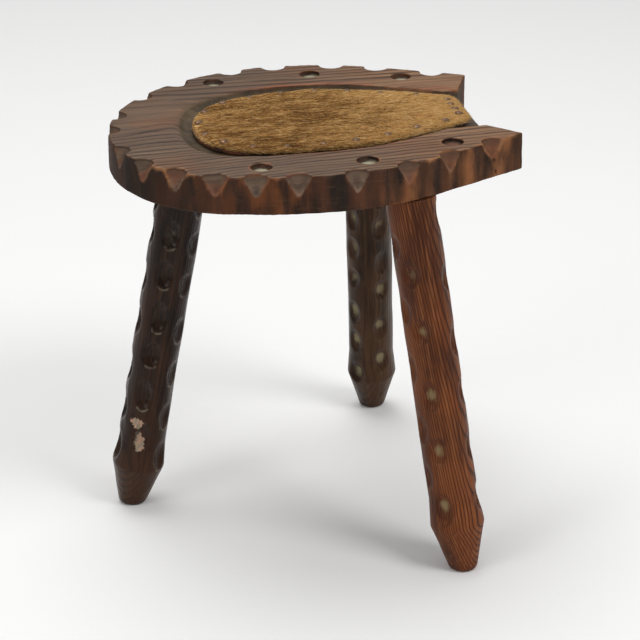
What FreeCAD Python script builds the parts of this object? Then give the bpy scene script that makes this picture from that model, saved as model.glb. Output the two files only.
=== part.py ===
"""Three leg stool: a carved plank seat with a tacked hide pad, on three splayed round legs.

Frame: +Z up with z = 0 on the floor, +X from the toe of the seat to its two horns, and the origin in the
middle of the footprint.  Lengths are millimetres and angles are degrees.  The sketches are drawn in the
seat's own frame, whose x = 0 is the tip of the toe and whose y = 0 is the seat's centre line.
"""

import FreeCAD
import Part
import Sketcher
import math
import os

SHEET = "Dimensions"

DIMENSIONS = (
    ("middle_x", 193.7, "middle of the footprint, measured back from the toe"),
    ("middle_y", -3.2, "middle of the footprint, measured across from the seat's centre line"),
    ("seat_height", 415.0, "floor to the top face of the seat"),
    ("board_thickness", 38.0, "thickness of the seat board"),
    ("seat_tip_x", 0.0, "tip of the toe"),
    ("seat_nose_offset", 17.0, "tip of the toe off the centre line, towards -Y"),
    ("seat_nose_radius", 150.0, "arc round the toe"),
    ("seat_far_corner_radius", 185.0, "arc beside the toe, +Y side"),
    ("seat_near_corner_radius", 120.0, "arc beside the toe, -Y side"),
    ("seat_far_shoulder_radius", 200.0, "arc from the toe to the widest place, +Y side"),
    ("seat_near_shoulder_radius", 330.0, "arc from the toe to the widest place, -Y side"),
    ("seat_side_radius", 230.0, "arc from the widest place to the flank"),
    ("seat_side_x", 195.0, "where the seat is widest"),
    ("seat_half_width", 168.0, "half of the greatest width"),
    ("seat_far_flank_angle", 29.3, "slope of the straight flank to the horn, +Y side"),
    ("seat_near_flank_angle", 27.3, "slope of the straight flank to the horn, -Y side"),
    ("far_horn_x", 387.0, "outer corner of the +Y horn"),
    ("near_horn_x", 395.0, "outer corner of the -Y horn"),
    ("heel_x", 366.0, "straight heel face between the horns"),
    ("recess_tip_x", 71.0, "toe end of the recess"),
    ("recess_nose_offset", 15.0, "toe end off the centre line, towards -Y"),
    ("recess_nose_radius", 150.0, "arc round the toe end of the recess"),
    ("recess_far_corner_radius", 80.0, "arc beside the toe end, +Y side"),
    ("recess_near_corner_radius", 50.0, "arc beside the toe end, -Y side"),
    ("recess_far_shoulder_radius", 190.0, "arc from toe end to the widest place, +Y side"),
    ("recess_near_shoulder_radius", 400.0, "arc from toe end to the widest place, -Y side"),
    ("recess_side_radius", 200.0, "arc from the widest place to the flank"),
    ("recess_side_x", 200.0, "where the recess is widest"),
    ("recess_half_width", 101.5, "half of the greatest width of the recess"),
    ("recess_far_flank_angle", 28.5, "slope of the recess towards its channel, +Y side"),
    ("recess_near_flank_angle", 26.0, "slope of the recess towards its channel, -Y side"),
    ("far_channel_y", 46.0, "channel wall where the recess runs out at the heel, +Y side"),
    ("near_channel_y", 62.0, "channel wall where the recess runs out at the heel, -Y side"),
    ("recess_depth", 9.0, "depth of the recess floor"),
    ("cove_radius", 8.0, "hollow between the recess wall and its floor"),
    ("hide_tip_x", 83.5, "toe end of the hide"),
    ("hide_nose_offset", 8.0, "toe end off the centre line, towards -Y"),
    ("hide_nose_radius", 110.0, "arc round the toe end of the hide"),
    ("hide_far_corner_radius", 80.0, "arc beside the toe end, +Y side"),
    ("hide_near_corner_radius", 70.0, "arc beside the toe end, -Y side"),
    ("hide_far_shoulder_radius", 220.0, "arc from toe end to the widest place, +Y side"),
    ("hide_near_shoulder_radius", 400.0, "arc from toe end to the widest place, -Y side"),
    ("hide_side_radius", 190.0, "arc from the widest place to the flank"),
    ("hide_side_x", 200.0, "where the hide is widest"),
    ("hide_half_width", 88.0, "half of the greatest width of the hide"),
    ("hide_far_flank_angle", 22.5, "slope of the hide towards the heel, +Y side"),
    ("hide_near_flank_angle", 22.5, "slope of the hide towards the heel, -Y side"),
    ("hide_heel_x", 357.0, "straight heel end of the hide"),
    ("hide_heel_radius", 20.0, "rounded heel corner of the hide"),
    ("hide_rise", 7.5, "top of the hide above the recess floor"),
    ("hide_skin", 2.5, "thickness of the hide over the wadding"),
    ("hide_edge_radius", 2.0, "rounded top edge of the hide"),
    ("hem_width", 15.0, "turned-down hem that the tacks go through"),
    ("tack_inset", 8.0, "tack centre in from the edge of the hide"),
    ("tack_head_radius", 4.5, "tack head"),
    ("tack_head_height", 3.0, "tack head above the hide"),
    ("tack_crown_radius", 2.8, "rounding of the tack head"),
    ("tack_shank_radius", 1.0, "tack shank"),
    ("tack_shank_length", 13.0, "tack shank below the hide's top"),
    ("dot_radius", 10.0, "drilled ornament in the rim"),
    ("dot_depth", 6.0, "depth of the drilled ornaments"),
    ("scoop_radius", 12.5, "scoop in the top edge, measured on the top face"),
    ("scoop_tip_radius", 1.0, "scoop at its lower end"),
    ("scoop_depth", 20.0, "reach of a scoop down the side"),
    ("leg_radius", 24.5, "shaft of a leg"),
    ("ankle_radius", 27.0, "thickest place of a leg, above its foot"),
    ("ankle_length", 48.0, "pointed foot, measured along the leg"),
    ("ankle_slope", 28.0, "length over which the ankle narrows to the shaft"),
    ("foot_radius", 13.5, "leg at the floor"),
    ("sole_rounding", 5.0, "rounded edge of the sole"),
    ("tenon_radius", 15.0, "round tenon at the head of a leg"),
    ("tenon_length", 22.0, "tenon above the underside of the seat"),
    ("toe_leg_x", 76.0, "toe leg at the underside of the seat"),
    ("toe_leg_y", -4.0, "toe leg at the underside of the seat"),
    ("toe_leg_splay", 68.9, "foot out from the head of the toe leg"),
    ("toe_leg_heading", 161.0, "direction in which the toe leg leans"),
    ("near_leg_x", 272.0, "near leg at the underside of the seat"),
    ("near_leg_y", -130.0, "near leg at the underside of the seat"),
    ("near_leg_splay", 78.5, "foot out from the head of the near leg"),
    ("near_leg_heading", -58.5, "direction in which the near leg leans"),
    ("far_leg_x", 288.5, "far leg at the underside of the seat"),
    ("far_leg_y", 120.5, "far leg at the underside of the seat"),
    ("far_leg_splay", 74.0, "foot out from the head of the far leg"),
    ("far_leg_heading", 72.3, "direction in which the far leg leans"),
)

LEGS = ("toe_leg", "near_leg", "far_leg")

# Ornament centres on one side of the seat; the other side mirrors them.
DOTS = ((128.0, 130.0), (230.0, 134.5), (320.5, 104.0))

# Scoops were cut by eye: distance of each from the toe, along the edge, on the -Y and the +Y side.
SCOOPS_NEAR = (34, 79, 121, 162, 201, 241, 297, 351, 401, 455)
SCOOPS_FAR = (26, 70, 133, 188, 254, 301, 362, 410, 470)

TACKS_PER_SIDE = 9
FIRST_TACK = 19.0
TACK_PITCH = 35.5
TACKS_ACROSS_HEEL = 4

LEG_OVERSHOOT = 25.0  # extra length at both ends of a turned leg, sawn off level
TENON_ROOT = 12.0  # part of the tenon that is inside the leg
FULL_TURN = 360.0
FIRST_TURN = 10.0  # any angle but zero, so that a placement keeps its axis until the sheet gives the angle


def make_sheet(document):
    """Spreadsheet with every driving dimension and a name for each."""
    sheet = document.addObject("Spreadsheet::Sheet", SHEET)
    for row, (name, value, meaning) in enumerate(DIMENSIONS, start=1):
        sheet.set(f"A{row}", meaning)
        sheet.set(f"B{row}", str(value))
        sheet.setAlias(f"B{row}", name)
    document.recompute()
    return sheet


def cell(name):
    """Expression that reads one named cell."""
    return f"{SHEET}.{name}"


class Hand:
    """One hand of an outline, drawn as if it were on the +Y side.

    The arcs run from the flank round to the tip: centre x, centre y, radius, start angle and end angle.
    """

    def __init__(self, sheet, name, side, inset):
        hand = f"{name}_far" if side > 0 else f"{name}_near"
        nose = sheet.get(f"{name}_nose_radius") - inset
        corner = sheet.get(f"{hand}_corner_radius") - inset
        shoulder = sheet.get(f"{hand}_shoulder_radius") - inset
        radius = sheet.get(f"{name}_side_radius") - inset
        half_width = sheet.get(f"{name}_half_width") - inset
        x = sheet.get(f"{name}_side_x")
        nose_x = sheet.get(f"{name}_tip_x") + inset + nose
        nose_y = -side * sheet.get(f"{name}_nose_offset")
        shoulder_y = half_width - shoulder
        nose_centre = (nose_x, nose_y)
        corner_x, corner_y = touching_centre(nose_centre, nose - corner, (x, shoulder_y), shoulder - corner)
        self.slope = math.radians(sheet.get(f"{hand}_flank_angle"))
        widest = math.pi / 2
        to_corner = math.atan2(corner_y - shoulder_y, corner_x - x)
        facing = math.copysign(1.0, nose - corner)
        to_nose = math.atan2(facing * (corner_y - nose_y), facing * (corner_x - nose_x))
        self.arcs = [
            (x, half_width - radius, radius, widest - self.slope, widest),
            (x, shoulder_y, shoulder, widest, to_corner),
            (corner_x, corner_y, corner, to_corner, to_nose),
            (nose_x, nose_y, nose, to_nose, math.pi),
        ]

    def flank_start(self):
        """Point where the side arc runs into the straight flank."""
        x, y, radius, angle, _ = self.arcs[0]
        return on_circle(x, y, radius, angle)[0]

    def flank_y(self, x):
        """Half width on the straight flank."""
        start_x, start_y = self.flank_start()
        return start_y - (x - start_x) * math.tan(self.slope)

    def flank_x(self, y):
        """Where the straight flank reaches a half width."""
        start_x, start_y = self.flank_start()
        return start_x + (start_y - y) / math.tan(self.slope)

    def walk(self, distance):
        """Point and outward direction, that far from the tip along the edge."""
        for x, y, radius, start, end in reversed(self.arcs):
            length = radius * (end - start)
            if distance < length:
                return on_circle(x, y, radius, end - distance / radius)
            distance -= length
        x = self.flank_start()[0] + distance * math.cos(self.slope)
        return (x, self.flank_y(x)), (math.sin(self.slope), math.cos(self.slope))


class Outline:
    """Rounded toe, wide middle and tapering flanks; an inset moves the whole outline inwards."""

    def __init__(self, sheet, name, inset=None):
        self.name = name
        self.inset_name = inset
        self.inset = sheet.get(inset) if inset else 0.0
        self.far = Hand(sheet, name, 1, self.inset)
        self.near = Hand(sheet, name, -1, self.inset)

    def hand(self, side):
        """The +Y hand for 1 and the -Y hand for -1."""
        return self.far if side > 0 else self.near

    def arcs(self):
        """All seven arcs in order, from the +Y side round the tip to the -Y side."""
        full = 2 * math.pi
        x, y, radius, start, _ = self.far.arcs[-1]
        nose = (x, y, radius, start, full - self.near.arcs[-1][3])
        near = [(x, -y, radius, full - end, full - start) for x, y, radius, start, end in self.near.arcs[:-1]]
        return self.far.arcs[:-1] + [nose] + near[::-1]


def touching_centre(nose, from_nose, shoulder, from_shoulder):
    """Centre of the corner arc, so far from the centres of its two neighbours that it touches both."""
    span_x = nose[0] - shoulder[0]
    span_y = nose[1] - shoulder[1]
    span = math.hypot(span_x, span_y)
    along = (from_shoulder**2 - from_nose**2 + span**2) / (2 * span)
    across = math.copysign(math.sqrt(from_shoulder**2 - along**2), from_nose)
    return (
        shoulder[0] + (along * span_x - across * span_y) / span,
        shoulder[1] + (along * span_y + across * span_x) / span,
    )


def on_circle(x, y, radius, angle):
    """Point on a circle and its outward direction."""
    outward = (math.cos(angle), math.sin(angle))
    return (x + radius * outward[0], y + radius * outward[1]), outward


def new_body(document, name):
    """Empty body in the seat's frame, moved so that the origin is the middle of the footprint."""
    body = document.addObject("PartDesign::Body", name)
    body.Label = name
    body.setExpression("Placement.Base.x", f"-{cell('middle_x')}")
    body.setExpression("Placement.Base.y", f"-{cell('middle_y')}")
    return body


def new_sketch(body, name, role="XY_Plane", height=None):
    """Sketch on one of the body's own planes, raised by an expression."""
    sketch = body.newObject("Sketcher::SketchObject", name)
    plane = next(feature for feature in body.Origin.OriginFeatures if feature.Role == role)
    sketch.AttachmentSupport = (plane, [""])
    sketch.MapMode = "FlatFace"
    if height:
        sketch.setExpression("AttachmentOffset.Base.z", height)
    return sketch


def constrain(sketch, expression, *terms):
    """Dimension on a sketch, driven by an expression."""
    index = sketch.addConstraint(Sketcher.Constraint(*terms))
    sketch.setExpression(f"Constraints[{index}]", expression)


def pin_x(sketch, item, end, x, expression):
    """Fix the x of a sketch point."""
    constrain(sketch, expression, "DistanceX", -1, 1, item, end, x)


def pin_y(sketch, item, end, y, expression):
    """Fix how far a sketch point is from the centre line; the expression gives the distance."""
    if y > 0:
        constrain(sketch, expression, "DistanceY", -1, 1, item, end, y)
    else:
        constrain(sketch, expression, "DistanceY", item, end, -1, 1, -y)


def line(start, end):
    """Straight sketch segment between two points."""
    return Part.LineSegment(FreeCAD.Vector(*start, 0), FreeCAD.Vector(*end, 0))


def draw_outline(sketch, outline, far_end, near_end):
    """Flank, seven arcs and flank, between two points; returns the indexes of the two flanks."""
    far_x, far_y = outline.far.flank_start()
    near_x, near_y = outline.near.flank_start()
    far_flank = sketch.addGeometry(line(far_end, (far_x, far_y)))
    for x, y, radius, start, end in outline.arcs():
        circle = Part.Circle(FreeCAD.Vector(x, y, 0), FreeCAD.Vector(0, 0, 1), radius)
        sketch.addGeometry(Part.ArcOfCircle(circle, start, end))
    near_flank = sketch.addGeometry(line((near_x, -near_y), near_end))
    for item in range(far_flank, near_flank):
        sketch.addConstraint(Sketcher.Constraint("Tangent", item, 2, item + 1, 1))
    size_outline(sketch, outline, far_flank, near_flank)
    return far_flank, near_flank


def size_outline(sketch, outline, far_flank, near_flank):
    """Radii, centres and slopes of an outline, bound to the sheet."""
    inset = f" - {cell(outline.inset_name)}" if outline.inset_name else ""
    size = f"{SHEET}.{outline.name}_"
    names = ("side", "far_shoulder", "far_corner", "nose", "near_corner", "near_shoulder", "side")
    for item, (name, arc) in enumerate(zip(names, outline.arcs()), start=far_flank + 1):
        x, y, radius, _, _ = arc
        constrain(sketch, f"{size}{name}_radius{inset}", "Radius", item, radius)
        if name == "side":
            pin_y(sketch, item, 3, y, f"{size}side_radius - {size}half_width")
        if name == "nose":
            pin_x(sketch, item, 3, x, f"{size}tip_x + {size}nose_radius")
            pin_y(sketch, item, 3, y, f"{size}nose_offset")
        elif "corner" not in name:
            pin_x(sketch, item, 3, x, f"{size}side_x")
    far_slope = math.pi - outline.far.slope
    constrain(sketch, f"180 - {size}far_flank_angle", "Angle", far_flank, far_slope)
    constrain(sketch, f"{size}near_flank_angle", "Angle", near_flank, outline.near.slope)


def join(sketch, *items):
    """Make the sketch segments meet end to start, in order."""
    for first, second in zip(items, items[1:]):
        sketch.addConstraint(Sketcher.Constraint("Coincident", first, 2, second, 1))


def hide_sketch(body, sheet, name, height, inset=None):
    """Outline of the hide, or the same moved inwards, with a straight heel end."""
    sketch = new_sketch(body, name, height=height)
    outline = Outline(sheet, "hide", inset)
    heel_x = sheet.get("hide_heel_x") - outline.inset
    far_end = (heel_x, outline.far.flank_y(heel_x))
    near_end = (heel_x, -outline.near.flank_y(heel_x))
    far_flank, near_flank = draw_outline(sketch, outline, far_end, near_end)
    across = sketch.addGeometry(line(near_end, far_end))
    join(sketch, near_flank, across, far_flank)
    expression = cell("hide_heel_x") + (f" - {cell(inset)}" if inset else "")
    for end in (1, 2):
        pin_x(sketch, across, end, heel_x, expression)
    return sketch


def seat_sketch(body, sheet):
    """Outline of the seat with its two horns, at the height of the underside."""
    sketch = new_sketch(body, "seat_outline", height=f"{cell('seat_height')} - {cell('board_thickness')}")
    outline = Outline(sheet, "seat")
    far_x = sheet.get("far_horn_x")
    near_x = sheet.get("near_horn_x")
    far_horn = (far_x, outline.far.flank_y(far_x))
    near_horn = (near_x, -outline.near.flank_y(near_x))
    far_flank, near_flank = draw_outline(sketch, outline, far_horn, near_horn)
    heel_x = sheet.get("heel_x")
    far_corner = (heel_x, sheet.get("far_channel_y"))
    near_corner = (heel_x, -sheet.get("near_channel_y"))
    near_end = sketch.addGeometry(line(near_horn, near_corner))
    heel = sketch.addGeometry(line(near_corner, far_corner))
    far_end = sketch.addGeometry(line(far_corner, far_horn))
    join(sketch, near_flank, near_end, heel, far_end, far_flank)
    pin_x(sketch, near_flank, 2, near_x, cell("near_horn_x"))
    pin_x(sketch, far_flank, 1, far_x, cell("far_horn_x"))
    for end, corner, name in ((1, near_corner, "near_channel_y"), (2, far_corner, "far_channel_y")):
        pin_x(sketch, heel, end, heel_x, cell("heel_x"))
        pin_y(sketch, heel, end, corner[1], cell(name))
    return sketch


def recess_sketch(body, sheet):
    """Outline of the recess, whose channel runs out past the heel face."""
    sketch = new_sketch(body, "recess_outline", height=cell("seat_height"))
    outline = Outline(sheet, "recess")
    far_y = sheet.get("far_channel_y")
    near_y = sheet.get("near_channel_y")
    far_end = (outline.far.flank_x(far_y), far_y)
    near_end = (outline.near.flank_x(near_y), -near_y)
    far_flank, near_flank = draw_outline(sketch, outline, far_end, near_end)
    open_x = sheet.get("near_horn_x")
    near_wall = sketch.addGeometry(line(near_end, (open_x, -near_y)))
    mouth = sketch.addGeometry(line((open_x, -near_y), (open_x, far_y)))
    far_wall = sketch.addGeometry(line((open_x, far_y), far_end))
    join(sketch, near_flank, near_wall, mouth, far_wall, far_flank)
    for end, y, name in ((1, -near_y, "near_channel_y"), (2, far_y, "far_channel_y")):
        pin_x(sketch, mouth, end, open_x, cell("near_horn_x"))
        pin_y(sketch, mouth, end, y, cell(name))
    sketch.addConstraint(Sketcher.Constraint("Horizontal", near_wall))
    sketch.addConstraint(Sketcher.Constraint("Horizontal", far_wall))
    return sketch


def circle_sketch(body, name, centres, radius, radius_name, height):
    """Sketch with one equal circle round each centre."""
    sketch = new_sketch(body, name, height=height)
    for x, y in centres:
        circle = Part.Circle(FreeCAD.Vector(x, y, 0), FreeCAD.Vector(0, 0, 1), radius)
        item = sketch.addGeometry(circle)
        constrain(sketch, cell(radius_name), "Radius", item, radius)
        sketch.addConstraint(Sketcher.Constraint("DistanceX", -1, 1, item, 3, x))
        sketch.addConstraint(Sketcher.Constraint("DistanceY", -1, 1, item, 3, y))
    return sketch


def extrude(body, kind, sketch, length, upward):
    """Pad or pocket of a horizontal sketch, upward or downward by an expression."""
    feature = body.newObject(f"PartDesign::{kind}", f"{sketch.Name}_{kind.lower()}")
    feature.Profile = sketch
    feature.setExpression("Length", length)
    feature.Reversed = upward == (kind == "Pocket")
    body.Document.recompute()
    return feature


def round_edges(body, name, radius, chosen):
    """Fillet every edge of the body that the test picks."""
    base = body.Tip
    edges = [f"Edge{n}" for n, edge in enumerate(base.Shape.Edges, start=1) if chosen(edge)]
    fillet = body.newObject("PartDesign::Fillet", name)
    fillet.Base = (base, edges)
    fillet.setExpression("Radius", radius)
    body.Document.recompute()


def level(edge, z):
    """True if the edge lies in the plane at that height."""
    box = edge.BoundBox
    return math.isclose(box.ZMin, z, abs_tol=0.01) and math.isclose(box.ZMax, z, abs_tol=0.01)


def add_cylinder(body, kind, name, radius_name, start, axis, length):
    """Additive or subtractive cylinder along an axis from a starting point."""
    cylinder = body.newObject(f"PartDesign::{kind}Cylinder", name)
    cylinder.setExpression("Radius", cell(radius_name))
    cylinder.Height = length
    cylinder.Placement = FreeCAD.Placement(start, FreeCAD.Rotation(FreeCAD.Vector(0, 0, 1), axis))
    return cylinder


def leg_axis(sheet, leg):
    """Head of a leg on the underside of the seat, in the seat's frame, and the direction up the leg."""
    underside = sheet.get("seat_height") - sheet.get("board_thickness")
    heading = math.radians(sheet.get(f"{leg}_heading"))
    splay = sheet.get(f"{leg}_splay")
    head = FreeCAD.Vector(sheet.get(f"{leg}_x"), sheet.get(f"{leg}_y"), underside)
    up = FreeCAD.Vector(-splay * math.cos(heading), -splay * math.sin(heading), underside).normalize()
    return head, up


def cut_mortises(body, sheet):
    """Blind round mortise for each leg's tenon."""
    length = TENON_ROOT + sheet.get("tenon_length")
    for leg in LEGS:
        head, up = leg_axis(sheet, leg)
        start = head - up * TENON_ROOT
        add_cylinder(body, "Subtractive", f"{leg}_mortise", "tenon_radius", start, up, length)


def cut_scoops(body, sheet):
    """Gouge cuts in the top edge: a half bowl in the top face that runs to a point down the side."""
    outline = Outline(sheet, "seat")
    tip_height = sheet.get("seat_height") - sheet.get("scoop_depth")
    stations = [(distance, -1) for distance in SCOOPS_NEAR] + [(distance, 1) for distance in SCOOPS_FAR]
    for distance, side in stations:
        (x, y), _ = outline.hand(side).walk(distance)
        scoop = body.newObject("PartDesign::SubtractiveCone", "scoop")
        scoop.setExpression("Radius1", cell("scoop_tip_radius"))
        scoop.setExpression("Radius2", f"2 * {cell('scoop_radius')} - {cell('scoop_tip_radius')}")
        scoop.setExpression("Height", f"2 * {cell('scoop_depth')}")
        scoop.Placement = FreeCAD.Placement(FreeCAD.Vector(x, side * y, tip_height), FreeCAD.Rotation())


def tack_centres(sheet):
    """Tack positions: a row down each side of the hide and one across its heel."""
    outline = Outline(sheet, "hide")
    inset = sheet.get("tack_inset")
    centres = []
    for number in range(TACKS_PER_SIDE):
        for side in (-1, 1):
            (x, y), (out_x, out_y) = outline.hand(side).walk(FIRST_TACK + number * TACK_PITCH)
            centres.append((x - inset * out_x, side * (y - inset * out_y)))
    heel_x = sheet.get("hide_heel_x") - inset
    widest = outline.far.flank_y(heel_x) - sheet.get("hide_heel_radius")
    for number in range(TACKS_ACROSS_HEEL):
        centres.append((heel_x, widest * (2 * number / (TACKS_ACROSS_HEEL - 1) - 1)))
    return centres


def make_seat_slab(document, sheet):
    """One thick board: outline, coved recess, ornaments, scooped edge, mortises and tack holes."""
    body = new_body(document, "seat_slab")
    extrude(body, "Pad", seat_sketch(body, sheet), cell("board_thickness"), upward=True)
    extrude(body, "Pocket", recess_sketch(body, sheet), cell("recess_depth"), upward=False)
    floor = sheet.get("seat_height") - sheet.get("recess_depth")
    heel_x = sheet.get("heel_x")
    round_edges(
        body,
        "cove",
        cell("cove_radius"),
        lambda edge: level(edge, floor) and edge.BoundBox.XMin < heel_x - 1,
    )
    dots = [(x, side * y) for x, y in DOTS for side in (-1, 1)]
    dot_sketch = circle_sketch(body, "dots", dots, sheet.get("dot_radius"), "dot_radius", cell("seat_height"))
    extrude(body, "Pocket", dot_sketch, cell("dot_depth"), upward=False)
    extrude(body, "Pocket", shank_sketch(body, sheet), cell("tack_shank_length"), upward=False)
    cut_scoops(body, sheet)
    cut_mortises(body, sheet)
    return body


def shank_sketch(body, sheet):
    """One small circle for each tack shank, at the top of the hide."""
    height = f"{cell('seat_height')} - {cell('recess_depth')} + {cell('hide_rise')}"
    radius = sheet.get("tack_shank_radius")
    return circle_sketch(body, "shanks", tack_centres(sheet), radius, "tack_shank_radius", height)


def make_hide_cover(document, sheet):
    """Hide with a thick turned-down hem, hollow underneath for the wadding."""
    body = new_body(document, "hide_cover")
    floor = f"{cell('seat_height')} - {cell('recess_depth')}"
    extrude(body, "Pad", hide_sketch(body, sheet, "hide_outline", floor), cell("hide_rise"), upward=True)
    heel_x = sheet.get("hide_heel_x")
    round_edges(
        body,
        "heel_corners",
        cell("hide_heel_radius"),
        lambda edge: edge.BoundBox.XMin > heel_x - 1 and edge.BoundBox.YLength < 1,
    )
    top = sheet.get("seat_height") - sheet.get("recess_depth") + sheet.get("hide_rise")
    round_edges(body, "top_edge", cell("hide_edge_radius"), lambda edge: level(edge, top))
    hollow = hide_sketch(body, sheet, "hide_hollow", floor, "hem_width")
    extrude(body, "Pocket", hollow, f"{cell('hide_rise')} - {cell('hide_skin')}", upward=True)
    extrude(body, "Pocket", shank_sketch(body, sheet), cell("hide_rise"), upward=False)
    return body


def make_wadding(document, sheet):
    """Flat layer of wadding that fills the space under the hide."""
    body = new_body(document, "wadding")
    floor = f"{cell('seat_height')} - {cell('recess_depth')}"
    sketch = hide_sketch(body, sheet, "wadding_outline", floor, "hem_width")
    extrude(body, "Pad", sketch, f"{cell('hide_rise')} - {cell('hide_skin')}", upward=True)
    return body


def make_hide_tacks(document, sheet):
    """All the tacks, as separate solids: a domed head on a thin shank."""
    body = new_body(document, "hide_tacks")
    body.AllowCompound = True
    extrude(body, "Pad", shank_sketch(body, sheet), cell("tack_shank_length"), upward=False)
    height = f"{cell('seat_height')} - {cell('recess_depth')} + {cell('hide_rise')}"
    radius = sheet.get("tack_head_radius")
    heads = circle_sketch(body, "heads", tack_centres(sheet), radius, "tack_head_radius", height)
    extrude(body, "Pad", heads, cell("tack_head_height"), upward=True)
    floor = sheet.get("seat_height") - sheet.get("recess_depth")
    top = floor + sheet.get("hide_rise") + sheet.get("tack_head_height")
    round_edges(body, "crowns", cell("tack_crown_radius"), lambda edge: level(edge, top))
    return body


def turned_placement():
    """Turn about the upright axis, by an angle that the sheet then replaces."""
    return FreeCAD.Placement(FreeCAD.Vector(), FreeCAD.Rotation(FreeCAD.Vector(0, 0, 1), FIRST_TURN))


def leg_profile(body, sheet, leg):
    """Half section of a leg in the plane in which it leans; the sketch's own y axis is the leg's axis."""
    underside = f"({cell('seat_height')} - {cell('board_thickness')})"
    lean = f"atan({cell(leg + '_splay')} / {underside})"
    sketch = new_sketch(body, "profile", role="XZ_Plane")
    sketch.AttachmentOffset = turned_placement()
    sketch.setExpression("AttachmentOffset.Base.x", cell(f"{leg}_splay"))
    sketch.setExpression("AttachmentOffset.Rotation.Angle", lean)
    foot = sheet.get("foot_radius")
    ankle = (sheet.get("ankle_radius"), sheet.get("ankle_length"))
    point = foot - LEG_OVERSHOOT * (ankle[0] - foot) / ankle[1]
    waist = (sheet.get("leg_radius"), ankle[1] + sheet.get("ankle_slope"))
    top = sheet.get("seat_height") + LEG_OVERSHOOT
    corners = [(0, -LEG_OVERSHOOT), (point, -LEG_OVERSHOOT), ankle, waist, (waist[0], top), (0, top)]
    for start, end in zip(corners, corners[1:] + corners[:1]):
        sketch.addGeometry(line(start, end))
    base, cone, slope, shaft, lid, centre = range(len(corners))
    join(sketch, base, cone, slope, shaft, lid, centre, base)
    for item in (base, lid):
        sketch.addConstraint(Sketcher.Constraint("Horizontal", item))
    sketch.addConstraint(Sketcher.Constraint("Vertical", shaft))
    for end in (1, 2):
        sketch.addConstraint(Sketcher.Constraint("PointOnObject", centre, end, -2))
    sketch.addConstraint(Sketcher.Constraint("DistanceY", base, 1, -1, 1, LEG_OVERSHOOT))
    taper = f"({cell('ankle_radius')} - {cell('foot_radius')}) / {cell('ankle_length')}"
    pin_x(sketch, base, 2, point, f"{cell('foot_radius')} - {LEG_OVERSHOOT} * {taper}")
    pin_x(sketch, cone, 2, ankle[0], cell("ankle_radius"))
    pin_y(sketch, cone, 2, ankle[1], cell("ankle_length"))
    pin_x(sketch, slope, 2, waist[0], cell("leg_radius"))
    pin_y(sketch, slope, 2, waist[1], f"{cell('ankle_length')} + {cell('ankle_slope')}")
    pin_y(sketch, lid, 1, top, f"{cell('seat_height')} + {LEG_OVERSHOOT}")
    return sketch


def saw_level(body, name, height, reach, upward):
    """Saw off everything above or below a level plane."""
    sketch = new_sketch(body, name, height=height)
    circle = Part.Circle(FreeCAD.Vector(), FreeCAD.Vector(0, 0, 1), reach)
    sketch.addGeometry(circle)
    sketch.addConstraint(Sketcher.Constraint("Coincident", 0, 3, -1, 1))
    sketch.addConstraint(Sketcher.Constraint("Radius", 0, reach))
    extrude(body, "Pocket", sketch, str(reach), upward)


def make_leg(document, sheet, leg):
    """Turned leg with a tapered foot, sawn level at both ends, and a round tenon at its head."""
    body = new_body(document, leg)
    body.Placement = turned_placement()
    body.setExpression("Placement.Base.x", f"{cell(leg + '_x')} - {cell('middle_x')}")
    body.setExpression("Placement.Base.y", f"{cell(leg + '_y')} - {cell('middle_y')}")
    body.setExpression("Placement.Rotation.Angle", cell(f"{leg}_heading"))
    profile = leg_profile(body, sheet, leg)
    turned = body.newObject("PartDesign::Revolution", "turned")
    turned.Profile = profile
    turned.ReferenceAxis = (profile, ["V_Axis"])
    turned.Angle = FULL_TURN
    document.recompute()
    splay = sheet.get(f"{leg}_splay")
    underside = sheet.get("seat_height") - sheet.get("board_thickness")
    reach = splay + 3 * sheet.get("ankle_radius")
    saw_level(body, "shoulder", f"{cell('seat_height')} - {cell('board_thickness')}", reach, upward=True)
    saw_level(body, "sole", "0", reach, upward=False)
    round_edges(body, "sole_edge", cell("sole_rounding"), lambda edge: level(edge, 0.0))
    up = FreeCAD.Vector(-splay, 0, underside).normalize()
    start = FreeCAD.Vector(0, 0, underside) - up * TENON_ROOT
    length = TENON_ROOT + sheet.get("tenon_length")
    add_cylinder(body, "Additive", "tenon", "tenon_radius", start, up, length)
    return body


def check_body(body, solids):
    """Stop if a feature failed or the body isn't the expected number of valid solids."""
    for feature in body.Group:
        if "Invalid" in feature.State or "Error" in feature.State:
            raise RuntimeError(f"{body.Label}: {feature.Name} is {feature.State}")
    shape = body.Shape
    if shape.isNull() or not shape.isValid() or len(shape.Solids) != solids:
        raise RuntimeError(f"{body.Label}: expected {solids} valid solids, found {len(shape.Solids)}")


def main():
    """Draw every piece, check it and write it as STEP."""
    document = FreeCAD.newDocument("three_leg_stool")
    sheet = make_sheet(document)
    bodies = [make_seat_slab(document, sheet)]
    bodies += [make_leg(document, sheet, leg) for leg in LEGS]
    bodies += [make(document, sheet) for make in (make_wadding, make_hide_cover, make_hide_tacks)]
    document.recompute()
    os.makedirs("parts", exist_ok=True)
    for body in bodies:
        check_body(body, len(tack_centres(sheet)) if body.Label == "hide_tacks" else 1)
        body.Shape.exportStep(os.path.join("parts", f"{body.Label}.step"))
        box = body.Shape.BoundBox
        print(
            f"{body.Label}: volume {body.Shape.Volume:.0f} mm3, "
            f"x {box.XMin:.1f} to {box.XMax:.1f}, y {box.YMin:.1f} to {box.YMax:.1f}, "
            f"z {box.ZMin:.1f} to {box.ZMax:.1f}"
        )


main()
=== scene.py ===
"""Looks of a three leg stool: carved board, gouged legs, tacked cowhide pad, floor, lights and camera.

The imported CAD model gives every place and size.  Each operator makes one piece, or one group of like
pieces, from the CAD node that it stands for; everything is in metres.
"""

import math
import random

import bpy
import numpy as np
from mathutils import Euler, Matrix, Vector
from mathutils.kdtree import KDTree


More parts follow.
